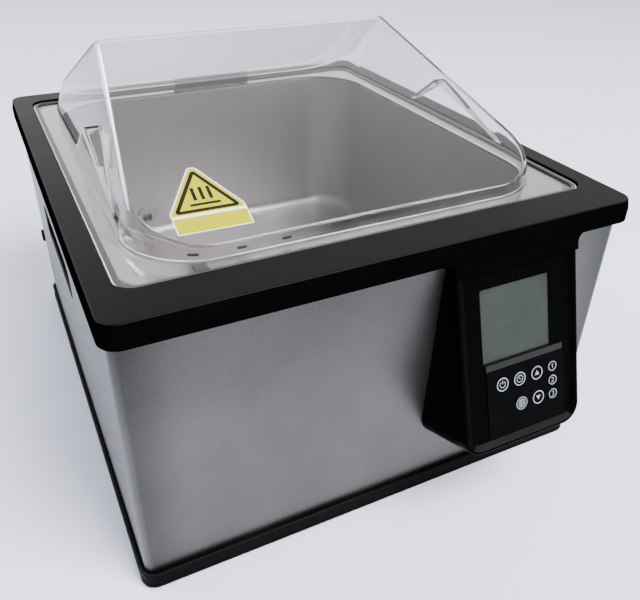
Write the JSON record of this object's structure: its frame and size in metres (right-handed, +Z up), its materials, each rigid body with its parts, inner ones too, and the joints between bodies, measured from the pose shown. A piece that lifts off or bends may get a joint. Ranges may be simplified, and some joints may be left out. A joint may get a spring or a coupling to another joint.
{
  "type": "water bath",
  "caption": "Rectangular bench-top water bath: metal casing, stainless tank, hinged clear gable lid, tilted control housing with display and keys.",
  "frame": {"origin": "middle of the bounding box on the bench, under the middle of the casing, at the level of the rubber feet", "axes": "+Z up; -Y is the front with the control housing; +X is to the right seen from the front"},
  "size_m": [0.364, 0.4926, 0.296],
  "materials": {
    "bezel_plastic": "satin",
    "tray_plastic": "satin",
    "foot_rubber": "matte",
    "case_metal": "bead blasted satin",
    "rear_metal": "fine texture",
    "tank_steel": "satin",
    "rim_steel": "satin",
    "screw_steel": "bright",
    "gasket_silicone": "matte",
    "insulation": "fibrous",
    "heater_silicone": "matte",
    "probe_steel": "satin",
    "part_plastic": "satin",
    "grip_plastic": "satin",
    "housing_plastic": "satin",
    "face_plastic": "semi gloss",
    "window_clear": "gloss",
    "sill_grey": "satin",
    "lcd": "satin",
    "overlay_film": "fine texture",
    "key_film": "fine texture",
    "board_green": "solder mask",
    "board_parts": "mixed",
    "spacer_nylon": "satin",
    "cable_grey": "matte",
    "cable_red": "matte",
    "hose_silicone": "translucent",
    "valve_brass": "satin",
    "lever_plastic": "satin",
    "inlet_plastic": "satin",
    "contact_brass": "bright",
    "rocker_plastic": "gloss",
    "bushing_metal": "bright",
    "button_red": "gloss",
    "clear_polycarbonate": "gloss",
    "hinge_clear": "gloss",
    "label_film": "satin"
  },
  "bodies": {
    "bath": {"base_tray": "tray_plastic", "rubber_feet": "foot_rubber", "foot_screws": "screw_steel", "outer_casing": "case_metal", "rear_panel": "rear_metal", "rear_panel_screws": "screw_steel", "top_bezel": "bezel_plastic", "support_ledge": "bezel_plastic", "bezel_screws": "screw_steel", "rim_gasket": "gasket_silicone", "tank": "tank_steel", "tank_rim": "rim_steel", "insulation_wrap": "insulation", "insulation_board": "insulation", "heater_pad": "heater_silicone", "temperature_probe": "probe_steel", "overheat_cutout": "part_plastic", "drain_fitting": "probe_steel", "drain_hose": "hose_silicone", "valve_body": "valve_brass", "grip_cup_left": "grip_plastic", "grip_cup_right": "grip_plastic", "control_housing": "housing_plastic", "face_panel": "face_plastic", "display_window": "window_clear", "display_sill": "sill_grey", "lcd_module": "lcd", "keypad_overlay": "overlay_film", "control_board": "board_green", "board_parts": "board_parts", "power_board": "board_green", "power_parts": "board_parts", "board_spacers": "spacer_nylon", "control_cable": "cable_grey", "heater_leads": "cable_red", "mains_leads": "cable_grey", "inlet_socket": "inlet_plastic", "inlet_screws": "screw_steel", "inlet_pins": "contact_brass", "switch_frame": "inlet_plastic", "reset_bushing": "bushing_metal"},
    "valve_lever": {"drain_lever": "lever_plastic"},
    "power_button": {"power_key": "key_film"},
    "timer_button": {"timer_key": "key_film"},
    "up_button": {"up_key": "key_film"},
    "down_button": {"down_key": "key_film"},
    "menu_button": {"menu_key": "key_film"},
    "program_1_button": {"program_1_key": "key_film"},
    "program_2_button": {"program_2_key": "key_film"},
    "program_3_button": {"program_3_key": "key_film"},
    "fuse_tray": {"fuse_drawer": "inlet_plastic"},
    "mains_rocker": {"rocker": "rocker_plastic"},
    "reset_plunger": {"reset_button": "button_red"},
    "lid_ring": {"lid_frame": "clear_polycarbonate", "hinge_bracket": "hinge_clear", "hinge_pin": "screw_steel"},
    "lid_cover": {"lid": "clear_polycarbonate", "hinge_leaf": "hinge_clear", "lid_label": "label_film"}
  },
  "joints": [
    {"name": "lid_lift", "type": "slide", "parent": "bath", "child": "lid_ring", "axis": [0, 0, 1], "range_m": [0, 0.12]},
    {"name": "lid_hinge", "type": "hinge", "parent": "lid_ring", "child": "lid_cover", "pos_m": [0.0055, 0.175, 0.215], "axis": [-1, 0, 0], "range_deg": [0, 100]},
    {"name": "power_press", "type": "slide", "parent": "bath", "child": "power_button", "axis": [0, 0.9527, -0.3039], "range_m": [0, 0.0004], "stiffness_N_per_m": 1500, "springref_m": -0.0004},
    {"name": "timer_press", "type": "slide", "parent": "bath", "child": "timer_button", "axis": [0, 0.9527, -0.3039], "range_m": [0, 0.0004], "stiffness_N_per_m": 1500, "springref_m": -0.0004},
    {"name": "up_press", "type": "slide", "parent": "bath", "child": "up_button", "axis": [0, 0.9527, -0.3039], "range_m": [0, 0.0004], "stiffness_N_per_m": 1500, "springref_m": -0.0004},
    {"name": "down_press", "type": "slide", "parent": "bath", "child": "down_button", "axis": [0, 0.9527, -0.3039], "range_m": [0, 0.0004], "stiffness_N_per_m": 1500, "springref_m": -0.0004},
    {"name": "menu_press", "type": "slide", "parent": "bath", "child": "menu_button", "axis": [0, 0.9527, -0.3039], "range_m": [0, 0.0004], "stiffness_N_per_m": 1500, "springref_m": -0.0004},
    {"name": "program_1_press", "type": "slide", "parent": "bath", "child": "program_1_button", "axis": [0, 0.9527, -0.3039], "range_m": [0, 0.0004], "stiffness_N_per_m": 1500, "springref_m": -0.0004},
    {"name": "program_2_press", "type": "slide", "parent": "bath", "child": "program_2_button", "axis": [0, 0.9527, -0.3039], "range_m": [0, 0.0004], "stiffness_N_per_m": 1500, "springref_m": -0.0004},
    {"name": "program_3_press", "type": "slide", "parent": "bath", "child": "program_3_button", "axis": [0, 0.9527, -0.3039], "range_m": [0, 0.0004], "stiffness_N_per_m": 1500, "springref_m": -0.0004},
    {"name": "mains_switch", "type": "hinge", "parent": "bath", "child": "mains_rocker", "pos_m": [0.072, 0.1956, 0.039], "axis": [-1, 0, 0], "range_deg": [0, 20]},
    {"name": "reset_press", "type": "slide", "parent": "bath", "child": "reset_plunger", "axis": [0, -1, 0], "range_m": [0, 0.003], "stiffness_N_per_m": 800, "springref_m": -0.002},
    {"name": "fuse_slide", "type": "slide", "parent": "bath", "child": "fuse_tray", "axis": [0, 1, 0], "range_m": [0, 0.016]},
    {"name": "drain_turn", "type": "hinge", "parent": "bath", "child": "valve_lever", "pos_m": [-0.15, 0.2136, 0.048], "axis": [0, 0, -1], "range_deg": [0, 90]}
  ]
}
